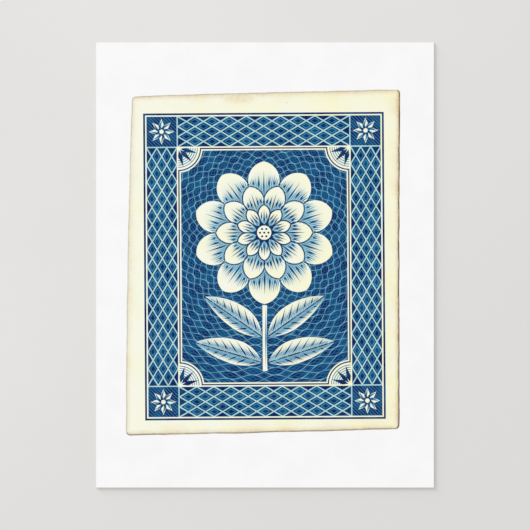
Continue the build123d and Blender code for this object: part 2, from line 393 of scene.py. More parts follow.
@dataclass(frozen=True, kw_only=True)
class WaveFinish(InkFinish):
    """Solid ink with nets of fine wavy rings left pale, about one centre. Sizes in millimetres."""

    place: "Place"
    pitch: float = 2.4
    waves: int = 20
    swing: float = 0.5
    line: float = 0.24
    core: float = 9.0
    core_fade: float = 3.0
    printed: Patches = Patches(2.5 * MM, detail=3, low=0.3, high=0.6, least=0.5)
    pale: Colour = srgb(116, 178, 198)
    mid: Colour = srgb(38, 100, 146)

    def net(self, graph: Graph, finer: int) -> Socket:
        """Two crossing sets of rings, faded towards their core and where the plate printed thin.

        Args:
            graph: The material's nodes.
            finer: How many times as close the rings and waves are.

        Returns:
            1 on the lines and 0 between them.
        """
        x, y = graph.centred(self.place.x, self.place.y)
        radius = graph.length(x, y)
        turn = graph.math("MULTIPLY", graph.math("ARCTAN2", y, x), self.waves * finer)
        wave = graph.math("SINE", turn)
        sets = []
        for swing in (self.swing, -self.swing):
            bend = graph.math("MULTIPLY", wave, swing)
            phase = graph.math("MULTIPLY_ADD", radius, finer / self.pitch, bend)
            sets.append(graph.lines(phase, self.line * finer / self.pitch))
        faded = graph.spread(radius, self.core, self.core + self.core_fade)
        lines = graph.math("MULTIPLY", graph.math("MAXIMUM", *sets), faded)
        return graph.math("MULTIPLY", lines, self.printed.share(graph))

    def tones(self, graph: Graph, tooth: Socket) -> Socket:
        """The ink's colour with its nets left pale, the finer one less.

        Args:
            graph: The material's nodes.
            tooth: The noise of the tooth.

        Returns:
            The colour.
        """
        colour = graph.mix(self.net(graph, 2), super().tones(graph, tooth), self.mid)
        return graph.mix(self.net(graph, 1), colour, self.pale)


@dataclass(frozen=True, kw_only=True)
class LinedFinish(InkFinish):
    """Solid ink ruled with fine slanting lines that are left lighter. Sizes in millimetres."""

    pitch: float = 0.8
    line: float = 0.22
    turn: float = radians(45.4)
    pale: Colour = srgb(58, 118, 158)

    def tones(self, graph: Graph, tooth: Socket) -> Socket:
        """The ink's colour with its ruled lines.

        Args:
            graph: The material's nodes.
            tooth: The noise of the tooth.

        Returns:
            The colour.
        """
        x, y = graph.centred(0, 0)
        across = graph.math("MULTIPLY", y, sin(self.turn) / self.pitch)
        phase = graph.math("MULTIPLY_ADD", x, cos(self.turn) / self.pitch, across)
        lines = graph.lines(phase, self.line / self.pitch)
        return graph.mix(lines, super().tones(graph, tooth), self.pale)


@dataclass(frozen=True)
class Side:
    """One side of the cream field, run clockwise, and how it has aged. Sizes in millimetres."""

    start: Point
    end: Point
    bow: float
    stain: float
    line: float
    near: float = 0.5

    def outward(self) -> Vector:
        """The direction out of the field, at right angles to the side."""
        along = (Vector(self.end) - Vector(self.start)).normalized()
        return Vector((-along.y, along.x))

    def bowed(self, point: Vector) -> Vector:
        """How far the side's bow moves a point of the outline.

        Args:
            point: The point.

        Returns:
            The way that it moves, nothing for points of other sides.
        """
        along = Vector(self.end) - Vector(self.start)
        apart = point - Vector(self.start)
        share = apart.dot(along) / along.length_squared
        if abs(apart.dot(self.outward())) > self.near or not 0 < share < 1:
            return Vector((0, 0))
        return self.outward() * self.bow * 4 * share * (1 - share)

    def depth(self, graph: Graph, x: Socket, y: Socket) -> Socket:
        """How far inside the side a place of the card is.

        Args:
            graph: The material's nodes.
            x: The place across the card.
            y: The place along the card.

        Returns:
            The distance.
        """
        out = self.outward()
        part = graph.math("MULTIPLY_ADD", y, -out.y, Vector(self.start).dot(out))
        return graph.math("MULTIPLY_ADD", x, -out.x, part)


@dataclass(frozen=True, kw_only=True)
class AgedFinish(Finish):
    """A cream tint, yellowed in clouds and browned at its sides, with one larger stain.

    Places and distances on the card are in millimetres.
    """

    sides: tuple[Side, ...]
    cream: Colour = srgb(245, 246, 229)
    yellow: Colour = srgb(246, 244, 207)
    tan: Colour = srgb(224, 195, 150)
    speck: Colour = srgb(203, 178, 134)
    spot: Point = (-8.3, 54.0)
    spot_size: Point = (8.5, 3.6)
    spot_core: float = 0.2
    spot_share: float = 0.6
    reach: float = 44.0
    left_yellow: float = -0.3
    right_yellow: float = 0.22
    near: Range = (0.3, 1.9)
    near_share: float = 0.85
    far: Range = (0.5, 5.0)
    far_share: float = 0.3
    fray: Patches = Patches(1.0 * MM, detail=5, low=0.3, high=0.7, least=0.5)
    drift: Patches = Patches(9 * MM, detail=4, low=0.4, high=0.65, least=0.1)
    clouds: Patches = Patches(13 * MM, detail=6, low=0.38, high=0.68, most=0.62)
    mottle: Patches = Patches(1.3 * MM, detail=4, low=0.34, high=0.7, most=0.38)
    flecks: Patches = Patches(0.9 * MM, detail=2, low=0.74, high=0.8, most=0.5)
    tooth: float = 0.3 * MM
    tooth_detail: float = 4
    tooth_depth: float = 0.004 * MM
    roughness: Range = (0.66, 0.84)
    shine: float = 0.08

    def browned(self, graph: Graph, x: Socket, y: Socket) -> Socket:
        """How much the tint has browned, by its stain and towards its sides.

        Args:
            graph: The material's nodes.
            x: The place across the card.
            y: The place along the card.

        Returns:
            The share of tan.
        """
        fray, drift = self.fray.share(graph), self.drift.share(graph)
        apart = [
            graph.math("DIVIDE", graph.math("SUBTRACT", place, middle), size)
            for place, middle, size in zip((x, y), self.spot, self.spot_size)
        ]
        stain = graph.spread(graph.length(*apart), self.spot_core, 1, self.spot_share, 0)
        browned = graph.math("MULTIPLY", stain, fray)
        for side in self.sides:
            depth = side.depth(graph, x, y)
            near = graph.spread(depth, *self.near, self.near_share * side.stain, 0)
            far = graph.spread(depth, *self.far, self.far_share * side.stain, 0)
            both = graph.math("MULTIPLY_ADD", far, drift, graph.math("MULTIPLY", near, fray))
            browned = graph.math("MAXIMUM", browned, both)
        return browned

    def tones(self, graph: Graph, tooth: Socket) -> Socket:
        """The tint's colour, in which its tooth doesn't show.

        Args:
            graph: The material's nodes.
            tooth: The noise of the tooth; not used.

        Returns:
            The colour.
        """
        x, y = graph.centred(0, 0)
        lean = graph.spread(x, -self.reach, self.reach, self.left_yellow, self.right_yellow)
        patches = graph.math("ADD", self.clouds.share(graph), self.mottle.share(graph))
        aged = graph.mix(graph.math("ADD", patches, lean), self.cream, self.yellow)
        stained = graph.mix(self.browned(graph, x, y), aged, self.tan)
        return graph.mix(self.flecks.share(graph), stained, self.speck)


@dataclass(frozen=True, kw_only=True)
class TonedFinish(AgedFinish):
    """The tint's rim, darkened towards its outer edge by how much each side has browned."""

    dark: Colour = srgb(66, 57, 56)
    attribute: str = "rim"
    side_range: Range = (0.7, 1.3)
    rim_range: Range = (0.1, 0.9)
    inner_share: float = 0.05
    broken: Patches = Patches(4 * MM, detail=5, low=0.32, high=0.58, least=0.72)

    def tones(self, graph: Graph, tooth: Socket) -> Socket:
        """The rim's colour.

        Args:
            graph: The material's nodes.
            tooth: The noise of the tooth.

        Returns:
            The colour.
        """
        x, y = graph.centred(0, 0)
        mark = graph.tree.nodes.new("ShaderNodeAttribute")
        mark.attribute_name = self.attribute
        outer = graph.spread(mark.outputs["Fac"], *self.rim_range, self.inner_share, 1)
        strength = 0.0
        for side in self.sides:
            near = graph.spread(side.depth(graph, x, y), *self.side_range, side.line, 0)
            strength = graph.math("MAXIMUM", near, strength)
        line = graph.math("MULTIPLY", strength, self.broken.share(graph))
        share = graph.math("MULTIPLY", line, outer)
        return graph.mix(share, super().tones(graph, tooth), self.dark)


def flat_shape(shape: Drawing, sides: int, place: Matrix) -> None:
    """Adds a flat regular shape, stretched and turned into place.

    Args:
        shape: The drawing that it joins.
        sides: How many sides it has, with its first corner along +X.
        place: What it does to a shape of radius 1 about the origin.
    """
    bmesh.ops.create_circle(shape, cap_ends=True, segments=sides, radius=1, matrix=place)


def flat_block(shape: Drawing, middle: Vector, width: float, height: float) -> None:
    """Adds a flat rectangle.

    Args:
        shape: The drawing that it joins.
        middle: Its middle.
        width: Its width.
        height: Its height.
    """
    place = Matrix.Translation(middle) @ Matrix.Diagonal((width / 2, height / 2, 1, 1))
    bmesh.ops.create_grid(shape, x_segments=1, y_segments=1, size=1, matrix=place)


def add(whole: Drawing, part: Drawing) -> None:
    """Moves a part's shapes into a larger drawing.

    Args:
        whole: The drawing.
        part: The part, which is freed.
    """
    mesh = bpy.data.meshes.new("part")
    part.to_mesh(mesh)
    part.free()
    whole.from_mesh(mesh)
    bpy.data.meshes.remove(mesh)


def tapered(root: Vector, tip: Vector, width: float) -> Matrix:
    """Where a three-sided shape becomes a stroke that is wide at its root and ends in a point.

    Args:
        root: The middle of the wide end.
        tip: The point.
        width: The width at the root.

    Returns:
        The matrix for flat_shape.
    """
    along = tip - root
    place = Matrix.Translation((*(root + along / 3), 0))
    stretch = Matrix.Diagonal((along.length * 2 / 3, width / sqrt(3), 1, 1))
    return place @ Matrix.Rotation(atan2(along.y, along.x), 4, "Z") @ stretch


def swelled(start: Vector, end: Vector, width: float) -> Matrix:
    """Where a four-sided shape becomes a stroke that is pointed at both ends.

    Args:
        start: One end.
        end: The other end.
        width: The width in the middle.

    Returns:
        The matrix for flat_shape.
    """
    along = end - start
    place = Matrix.Translation((*((start + end) / 2), 0))
    stretch = Matrix.Diagonal((along.length / 2, width / 2, 1, 1))
    return place @ Matrix.Rotation(atan2(along.y, along.x), 4, "Z") @ stretch


@dataclass(frozen=True)
class Place:
    """Where a drawing in millimetres about its own middle lies on the card, in metres."""

    x: float = 0.0
    y: float = 0.0
    turn: float = 0.0
    level: float = 0.0
    size: float = 1.0

    def matrix(self) -> Matrix:
        """The matrix that lays the drawing on the card."""
        drawn = Matrix.Rotation(self.turn, 4, "Z") @ Matrix.Scale(MM * self.size, 4)
        return Matrix.Translation((self.x, self.y, self.level)) @ drawn

    def moved(self, x: float, y: float, size: float) -> "Place":
        """A place for a part of the drawing.

        Args:
            x: Its middle across the drawing, in millimetres.
            y: Its middle along the drawing, in millimetres.
            size: How much the part is enlarged.

        Returns:
            The part's place.
        """
        middle = self.matrix() @ Vector((x, y, 0))
        return Place(middle.x, middle.y, self.turn, self.level, size)


def lay(name: str, shape: Drawing, place: Place, film: float, slot: Slot,
        *materials: Material) -> Piece:
    """Makes a printed film of a flat drawing and sets it on the card.

    Args:
        name: The piece's name.
        shape: The drawing, in millimetres, which is freed.
        place: Where it lies.
        film: The ink's thickness, in metres.
        slot: The record's slot for the ink; not used.
        materials: The inks, by the drawing's material index.

    Returns:
        The piece.
    """
    bmesh.ops.transform(shape, matrix=place.matrix(), verts=shape.verts)
    for face in shape.faces:
        face.normal_update()
    turned = [face for face in shape.faces if face.normal.z < 0]
    bmesh.ops.reverse_faces(shape, faces=turned)
    bmesh.ops.translate(shape, vec=(0, 0, film), verts=shape.verts)
    mesh = bpy.data.meshes.new(name)
    shape.to_mesh(mesh)
    shape.free()
    for material in materials:
        mesh.materials.append(material)
    piece = bpy.data.objects.new(name, mesh)
    bpy.context.scene.collection.objects.link(piece)
    thick = piece.modifiers.new("film", "SOLIDIFY")
    thick.thickness = film
    thick.offset = -1
    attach(piece, BODY)
    log.info("%s: %d printed shapes", name, len(mesh.polygons))
    return piece


def dress(node: str, material: Material) -> None:
    """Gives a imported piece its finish.

    Args:
        node: The piece's name.
        material: Its finish.
    """
    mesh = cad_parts[node].data
    mesh.materials.clear()
    mesh.materials.append(material)
    log.info("%s: %s", node, material.name)


@dataclass
class Board:
    """The plies and the coating."""

    white: Colour = srgb(248, 248, 248)
    white_shade: Colour = srgb(245, 244, 245)
    back: Colour = srgb(244, 243, 239)
    back_shade: Colour = srgb(237, 235, 230)
    back_tooth: float = 0.5 * MM
    # The cut edges are greyer than the face: partly the grey of the cut fibres, partly painted
    # shade that keeps the lamp-lit edges from throwing light onto the floor.
    edge: Colour = srgb(196, 191, 181)
    edge_shade: Colour = srgb(174, 168, 156)
    edge_cloud: float = 3 * MM
    edge_roughness: Range = (0.79, 0.95)
    # The face ply shows only at its cut edge; its darker colour is partly painted shade as well.
    ply: Colour = srgb(214, 211, 205)
    ply_cloud: float = 4 * MM
    fibres: Stretch = (1, 1, 9)

    def dress(self) -> None:
        """Dresses the layers, the cut ones with fibres along the sheet and a darker colour that is
        partly painted shade.
        """
        finishes = {
            "face_coating": PaperFinish(
                name="matte_white_coating", colour=self.white, shade=self.white_shade),
            "back_ply": PaperFinish(
                name="uncoated_back", colour=self.back, shade=self.back_shade,
                tooth=self.back_tooth),
            "core_ply": PaperFinish(
                name="cut_edge_painted_shade", colour=self.edge, shade=self.edge_shade,
                cloud=self.edge_cloud, stretch=self.fibres, roughness=self.edge_roughness),
            "face_ply": PaperFinish(
                name="cut_face_ply_painted_shade", colour=self.ply, shade=self.edge,
                cloud=self.ply_cloud, stretch=self.fibres),
        }
        for node, finish in finishes.items():
            dress(node, finish.material())


@dataclass
class WritingSide:
    """The grey lines on the back."""

    nodes: tuple[str, ...] = ("divider_line", "address_lines", "postage_box")
    grey: Colour = srgb(150, 150, 152)
    grey_light: Colour = srgb(172, 172, 173)
    bare: Colour = srgb(225, 224, 221)

    def dress(self) -> None:
        """Dresses the lines in one grey ink."""
        finish = InkFinish(
            name="line_grey_ink", deep=self.grey, light=self.grey_light, speck=self.bare)
        ink = finish.material()
        for node in self.nodes:
            dress(node, ink)


@dataclass
class CreamField:
    """The cream tint and its browned rim, with a slightly frayed outline. Sizes in millimetres."""

    top_left: Point = (-42.56, 53.90)
    top_right: Point = (43.23, 56.00)
    bottom_right: Point = (43.03, -52.42)
    bottom_left: Point = (-44.46, -54.42)
    bows: tuple[float, ...] = (0.25, -0.22, 0.16, 0.42)
    stains: tuple[float, ...] = (0.5, 1.05, 0.65, 0.32)
    lines: tuple[float, ...] = (0.4, 1.05, 0.75, 0.35)
    radius: float = 1.3
    radius_steps: int = 6
    rim: float = 0.75
    cuts: int = 110
    frays: tuple[tuple[float, float], ...] = ((8.0, 0.16), (1.8, 0.07))
    seed: int = 3

    def __post_init__(self) -> None:
        """Runs the sides from corner to corner, clockwise from the top one."""
        corners = (self.top_left, self.top_right, self.bottom_right, self.bottom_left)
        ends = (*corners[1:], corners[0])
        worn = zip(corners, ends, self.bows, self.stains, self.lines)
        self.sides = tuple(Side(*values) for values in worn)

    def wander(self, point: Vector) -> Vector:
        """How far a point of the outline stands from the straight side.

        Args:
            point: The point on the straight outline.

        Returns:
            The way to the frayed outline.
        """
        move = Vector((0, 0, 0))
        for wave, swing in self.frays:
            move += noise.noise_vector(point / wave) * swing
        for side in self.sides:
            move += side.bowed(point.xy).to_3d()
        return Vector((move.x, move.y, 0))

    def outline(self) -> Drawing:
        """The frayed outline, the same each time.

        Returns:
            The drawing, of one flat face.
        """
        shape = bmesh.new()
        shape.faces.new([shape.verts.new((*side.start, 0)) for side in self.sides])
        bmesh.ops.bevel(
            shape, geom=shape.verts[:], offset=self.radius, offset_type="OFFSET",
            affect="VERTICES", segments=self.radius_steps, profile=0.5, material=-1)
        long = [edge for edge in shape.edges if edge.calc_length() > 2 * self.radius]
        bmesh.ops.subdivide_edges(shape, edges=long, cuts=self.cuts)
        noise.seed_set(self.seed)
        for vert in shape.verts:
            vert.co += self.wander(vert.co)
        return shape

    def tint(self) -> Piece:
        """Makes the tint, which stands for the even one.

        Returns:
            The piece.
        """
        low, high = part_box("cream_tint")
        aged = AgedFinish(name="aged_cream", sides=self.sides).material()
        piece = lay(
            "cream_field", self.outline(), Place(level=low.z), high.z - low.z, Slot.CREAM, aged)
        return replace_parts(piece, "cream_tint")

    def browned_rim(self) -> Piece:
        """Makes the rim, marked 1 at its outer edge and 0 at its inner one, for the even one.

        Returns:
            The piece.
        """
        low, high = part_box("edge_toning")
        shape = self.outline()
        mark = shape.verts.layers.float.new(TonedFinish.attribute)
        inner = shape.faces[:]
        bmesh.ops.inset_region(
            shape, faces=inner, thickness=self.rim, use_boundary=True, use_even_offset=True)
        kept = {vert for face in inner for vert in face.verts}
        for vert in shape.verts:
            vert[mark] = 0 if vert in kept else 1
        bmesh.ops.delete(shape, geom=inner, context="FACES")
        browned = TonedFinish(name="browned_cream", sides=self.sides).material()
        piece = lay("browned_rim", shape, Place(level=low.z), high.z - low.z, Slot.TONED, browned)
        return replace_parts(piece, "edge_toning")

    def build(self) -> None:
        """Builds the tint and its rim."""
        self.tint()
        self.browned_rim()


@dataclass
class Inks:
    """The blues of the print: full ink plain, ruled or waved, a thin ink, and a pale wash."""

    navy: Colour = srgb(12, 34, 90)
    blue: Colour = srgb(18, 77, 122)
    teal: Colour = srgb(34, 120, 166)
    light_teal: Colour = srgb(64, 150, 188)
    pale: Colour = srgb(162, 208, 213)
    pale_light: Colour = srgb(184, 217, 214)
    pale_speck: Colour = srgb(220, 236, 222)
    bare: Colour = srgb(102, 158, 184)

    def __post_init__(self) -> None:
        """Makes the inks that lie anywhere on the card."""
        self.solid = {"deep": self.navy, "light": self.blue, "speck": self.bare}
        thin = InkFinish(
            name="thin_blue_ink", deep=self.teal, light=self.light_teal, speck=self.pale)
        wash = InkFinish(
            name="pale_blue_wash", deep=self.pale, light=self.pale_light, speck=self.pale_speck)
        self.full = InkFinish(name="solid_blue_ink", **self.solid).material()
        self.ruled = LinedFinish(name="ruled_blue_ink", **self.solid).material()
        self.thin = thin.material()
        self.wash = wash.material()

    def waved(self, place: Place) -> Material:
        """The full ink with wavy rings about a place of the card."""
        return WaveFinish(name="waved_blue_ink", place=place, **self.solid).material()


@dataclass
class FrameBand:
    """The printed frame: two rules, and the band of diamonds with its corner blocks and fans.

    Sizes are in millimetres.
    """

    inks: Inks
    turn: float = radians(0.4)
    band_inset: float = 1.05
    band: float = 9.6
    rows: int = 3
    line: float = 0.42
    end_cells: int = 10
    side_cells: int = 14
    rim: float = 0.36
    gap: float = 0.24
    star_hub: float = 0.75
    star_margin: float = 0.7
    star_ray: float = 1.5
    star_rays: int = 8
    fan_indent: float = 7.0
    fan_margin: float = 0.8
    fan_arc: float = 0.26
    fan_arc_pitch: float = 0.72
    fan_arc_count: int = 6
    fan_arc_steps: int = 14
    inner_gap: float = 0.45
    thin_share: float = 0.6
    wash_share: float = 0.3

    def __post_init__(self) -> None:
        """Finds the frame's size and place from its outer rule, which stands a little turned."""
        low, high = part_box("outer_rule")
        wide, tall = (high.x - low.x) / MM, (high.y - low.y) / MM
        self.width = (wide * cos(self.turn) - tall * sin(self.turn)) / cos(2 * self.turn)
        self.height = (tall * cos(self.turn) - wide * sin(self.turn)) / cos(2 * self.turn)
        self.film = high.z - low.z
        self.thin_film = self.film * self.thin_share
        self.wash_film = self.film * self.wash_share
        self.place = Place((low.x + high.x) / 2, (low.y + high.y) / 2, self.turn, low.z)
        middle = self.band_inset + self.band / 2
        self.band_x, self.band_y = self.width / 2 - middle, self.height / 2 - middle

    def run(self, length: float, cells: int) -> Drawing:
        """The diamonds of one straight run of the band, cut off at the band's edges.

        Args:
            length: The run's length.
            cells: How many whole diamonds fit along it.

        Returns:
            The run, along X about its middle, with a lighter line inside each whole diamond.
        """
        shape = bmesh.new()
        half_x, half_y = length / cells / 2, self.band / self.rows / 2
        slant = self.line * hypot(half_x, half_y) / 2
        reach = Matrix.Diagonal((half_x - slant / half_y, half_y - slant / half_x, 1, 1))
        for column in range(2 * cells + 1):
            for row in range(1 - column % 2, 2 * self.rows + 1, 2):
                x, y = column * half_x - length / 2, row * half_y - self.band / 2
                flat_shape(shape, 4, Matrix.Translation((x, y, 0)) @ reach)
        ends = (Vector((length / 2, 0, 0)), Vector((0, self.band / 2, 0)))
        for end in (side * edge for edge, side in product(ends, (-1, 1))):
            geometry = [*shape.verts, *shape.edges, *shape.faces]
            bmesh.ops.bisect_plane(
                shape, geom=geometry, plane_co=end, plane_no=end.normalized(), clear_outer=True)
        inner = [face for face in shape.faces if len(face.verts) == 4]
        bmesh.ops.inset_individual(shape, faces=inner, thickness=self.rim, use_even_offset=True)
        gaps = bmesh.ops.inset_individual(
            shape, faces=inner, thickness=self.gap, use_even_offset=True)
        for face in gaps["faces"]:
            face.material_index = 1
        return shape

    def lattice(self) -> Piece:
        """Makes the four runs of diamonds, which stand for the plain ones.

        Returns:
            The piece.
        """
        whole = bmesh.new()
        taken = 2 * (self.band_inset + self.band + self.line)
        for side in (-1, 1):
            end_run = self.run(self.width - taken, self.end_cells)
            end_place = Matrix.Translation((0, side * self.band_y, 0))
            side_run = self.run(self.height - taken, self.side_cells)
            side_place = Matrix.Translation((side * self.band_x, 0, 0))
            side_place = side_place @ Matrix.Rotation(pi / 2, 4, "Z")
            for run, place in ((end_run, end_place), (side_run, side_place)):
                bmesh.ops.transform(run, matrix=place, verts=run.verts)
                add(whole, run)
        inks = (self.inks.full, self.inks.thin)
        piece = lay("lattice", whole, self.place, self.film, Slot.BLUE, *inks)
        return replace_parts(piece, "lattice_cells")

    def star_facets(self) -> Piece:
        """Makes one shaded half on every ray of the corner stars.

        Returns:
            The piece.
        """
        shape = bmesh.new()
        half = self.star_ray / 2
        root = Vector((self.star_hub + self.line, half / 2))
        tip = Vector((self.band / 2 - self.star_margin, 0))
        facet = tapered(root, tip, half)
        for side, end, ray in product((-1, 1), (-1, 1), range(self.star_rays)):
            middle = Matrix.Translation((side * self.band_x, end * self.band_y, 0))
            turn = Matrix.Rotation(ray * 2 * pi / self.star_rays, 4, "Z")
            flat_shape(shape, 3, middle @ turn @ facet)
        return lay("star_facets", shape, self.place, self.thin_film, Slot.BLUE, self.inks.thin)

    def wash(self) -> Piece:
        """Makes the pale wash under the diamonds of the four runs, which shows between them.

        Returns:
            The piece.
        """
        shape = bmesh.new()
        taken = 2 * (self.band_inset + self.band)
        for side in (-1, 1):
            flat_block(
                shape, Vector((0, side * self.band_y, 0)), self.width - taken, self.band)
            flat_block(
                shape, Vector((side * self.band_x, 0, 0)), self.band, self.height - taken)
        return lay("band_wash", shape, self.place, self.wash_film, Slot.BLUE, self.inks.wash)

    def fan_arcs(self) -> Piece:
        """Makes the fine arcs behind the rays of the corner fans.

        Returns:
            The piece.
        """
        shape = bmesh.new()
        inset = self.band_inset + self.band + self.inner_gap
        corner = Vector((self.width / 2 - inset, self.height / 2 - inset))
        for quarter, (side, end) in enumerate(((1, 1), (-1, 1), (-1, -1), (1, -1))):
            middle = Vector((side * corner.x, end * corner.y, 0))
            turn = pi + quarter * pi / 2
            start = Vector((cos(turn), sin(turn), 0))
            for step in range(self.fan_arc_count):
                radius = self.fan_indent - self.fan_margin - step * self.fan_arc_pitch
                edges = (radius - self.fan_arc / 2, radius + self.fan_arc / 2)
                ends = [shape.verts.new(middle + start * edge) for edge in edges]
                bmesh.ops.spin(
                    shape, geom=[*ends, shape.edges.new(ends)], cent=middle, axis=(0, 0, 1),
                    angle=pi / 2, steps=self.fan_arc_steps)
        return lay("fan_arcs", shape, self.place, self.thin_film, Slot.BLUE, self.inks.thin)

    def build(self) -> None:
        """Dresses the plain pieces and adds the fine ones."""
        for node in ("outer_rule", "inner_rule", "corner_fans"):
            dress(node, self.inks.full)
        dress("corner_blocks", self.inks.ruled)
        self.lattice()
        self.wash()
        self.star_facets()
        self.fan_arcs()


@dataclass(frozen=True)
class Ring:
    """A ring of petals, in millimetres.

    It has radii at base and tip, and a crown, the stretch from a petal's widest place to its tip.
    """

    base: float
    tip: float
    crown: float
    turn: float
    hatch: int
    count: int = 10
    line: float = 0.42

    def crown_arc(self) -> tuple[float, float, float]:
        """The arc from a petal's widest place to its tip.

        Returns:
            Its radius, and its centre along and across the petal.
        """
        depth = (self.tip - self.crown) * sin(pi / self.count) - self.line / 2
        bend = (self.crown**2 + depth**2) / (2 * depth)
        return bend, self.tip - self.crown, depth - bend

    def edge(self, angle: float) -> float:
        """How far from the centre a petal's edge is.

        Args:
            angle: The direction from the centre, in radians.

        Returns:
            The radius, or 0 outside the petal.
        """
        bend, x, y = self.crown_arc()
        step = 2 * pi / self.count
        across = abs((angle - self.turn + step / 2) % step - step / 2)
        along = x * cos(across) + y * sin(across)
        apart = x * sin(across) - y * cos(across)
        return along + sqrt(bend**2 - apart**2) if apart < bend else 0.0


@dataclass(frozen=True, kw_only=True)
class PetalFinish(AgedFinish):
    """The aged tint under a wash that deepens towards the base of every petal's open part."""

    place: Place
    rings: tuple[Ring, ...]
    wash: Colour
    depth: float = 0.8
    fade: float = 0.85

    def edge(self, graph: Graph, ring: Ring, angle: Socket) -> Socket:
        """How far from the centre a ring's petals reach, as Ring.edge gives it.

        Args:
            graph: The material's nodes.
            ring: The ring.
            angle: The direction from the blossom's centre.

        Returns:
            The radius.
        """
        bend, x, y = ring.crown_arc()
        across = graph.math("PINGPONG", graph.math("SUBTRACT", angle, ring.turn), pi / ring.count)
        level, rise = graph.math("COSINE", across), graph.math("SINE", across)
        along = graph.math("MULTIPLY_ADD", level, x, graph.math("MULTIPLY", rise, y))
        apart = graph.math("MULTIPLY_ADD", rise, x, graph.math("MULTIPLY", level, -y))
        rest = graph.math("SUBTRACT", bend**2, graph.math("POWER", apart, 2))
        return graph.math("ADD", along, graph.math("SQRT", graph.math("MAXIMUM", rest, 0)))

    def tones(self, graph: Graph, tooth: Socket) -> Socket:
        """The colour of the petals.

        Args:
            graph: The material's nodes.
            tooth: The noise of the tooth.

        Returns:
            The colour.
        """
        x, y = graph.centred(self.place.x, self.place.y)
        radius = graph.math("DIVIDE", graph.length(x, y), self.place.size)
        angle = graph.math("SUBTRACT", graph.math("ARCTAN2", y, x), self.place.turn)
        edges = [self.edge(graph, ring, angle) for ring in self.rings]
        share = 0.0
        for level, ring in enumerate(self.rings):
            inner = ring.base
            for over in edges[level + 1:]:
                inner = graph.math("MAXIMUM", over, inner)
            open_part = graph.math("SUBTRACT", edges[level], inner)
            reach = graph.math("DIVIDE", graph.math("SUBTRACT", radius, inner), open_part)
            wash = graph.spread(reach, 0, self.fade, self.depth, 0)
            inside = graph.math("LESS_THAN", radius, edges[level])
            more = graph.math("SUBTRACT", wash, share)
            share = graph.math("MULTIPLY_ADD", inside, more, share)
        petals = graph.math("GREATER_THAN", radius, self.rings[-1].base)
        washed = graph.math("MULTIPLY", share, petals)
        return graph.mix(washed, super().tones(graph, tooth), self.wash)


@dataclass(frozen=True)
class Leaf:
    """One leaf of the drawing: its foot in millimetres, its direction, and 1 or -1 for its side."""

    x: float
    y: float
    angle: float
    side: int


@dataclass(frozen=True, kw_only=True)
class LeafFinish(AgedFinish):
    """The aged tint under a wash that deepens towards every leaf's middle line, most below it."""

    place: Place
    leaves: tuple[Leaf, ...]
    length: float
    depths: tuple[float, float]
    wash: Colour
    lit: float = 0.5
    shaded: float = 0.85

    def shade(self, graph: Graph, leaf: Leaf) -> Socket:
        """How much wash one leaf has.

        Args:
            graph: The material's nodes.
            leaf: The leaf.

        Returns:
            The share of wash, 0 outside the leaf.
        """
        foot = self.place.matrix() @ Vector((leaf.x, leaf.y, 0))
        x, y = graph.centred(foot.x, foot.y)
        level = cos(self.place.turn + leaf.angle) / self.place.size
        rise = sin(self.place.turn + leaf.angle) / self.place.size
        along = graph.math("MULTIPLY_ADD", x, level, graph.math("MULTIPLY", y, rise))
        part = graph.math("MULTIPLY", y, leaf.side * level)
        across = graph.math("MULTIPLY_ADD", x, -leaf.side * rise, part)
        beside = graph.math("GREATER_THAN", graph.math("MULTIPLY", x, leaf.side), 0)
        inside = graph.math("MULTIPLY", beside, graph.math("LESS_THAN", along, self.length))
        upper = graph.spread(across, 0, self.depths[0], self.lit, 0)
        lower = graph.spread(across, -self.depths[1], 0, 0, self.shaded)
        above = graph.math("GREATER_THAN", across, 0)
        half = graph.math("MULTIPLY_ADD", above, graph.math("SUBTRACT", upper, lower), lower)
        return graph.math("MULTIPLY", inside, half)

    def tones(self, graph: Graph, tooth: Socket) -> Socket:
        """The colour of the leaves.

        Args:
            graph: The material's nodes.
            tooth: The noise of the tooth.

        Returns:
            The colour.
        """
        share = 0.0
        for leaf in self.leaves:
            share = graph.math("MAXIMUM", self.shade(graph, leaf), share)
        return graph.mix(share, super().tones(graph, tooth), self.wash)


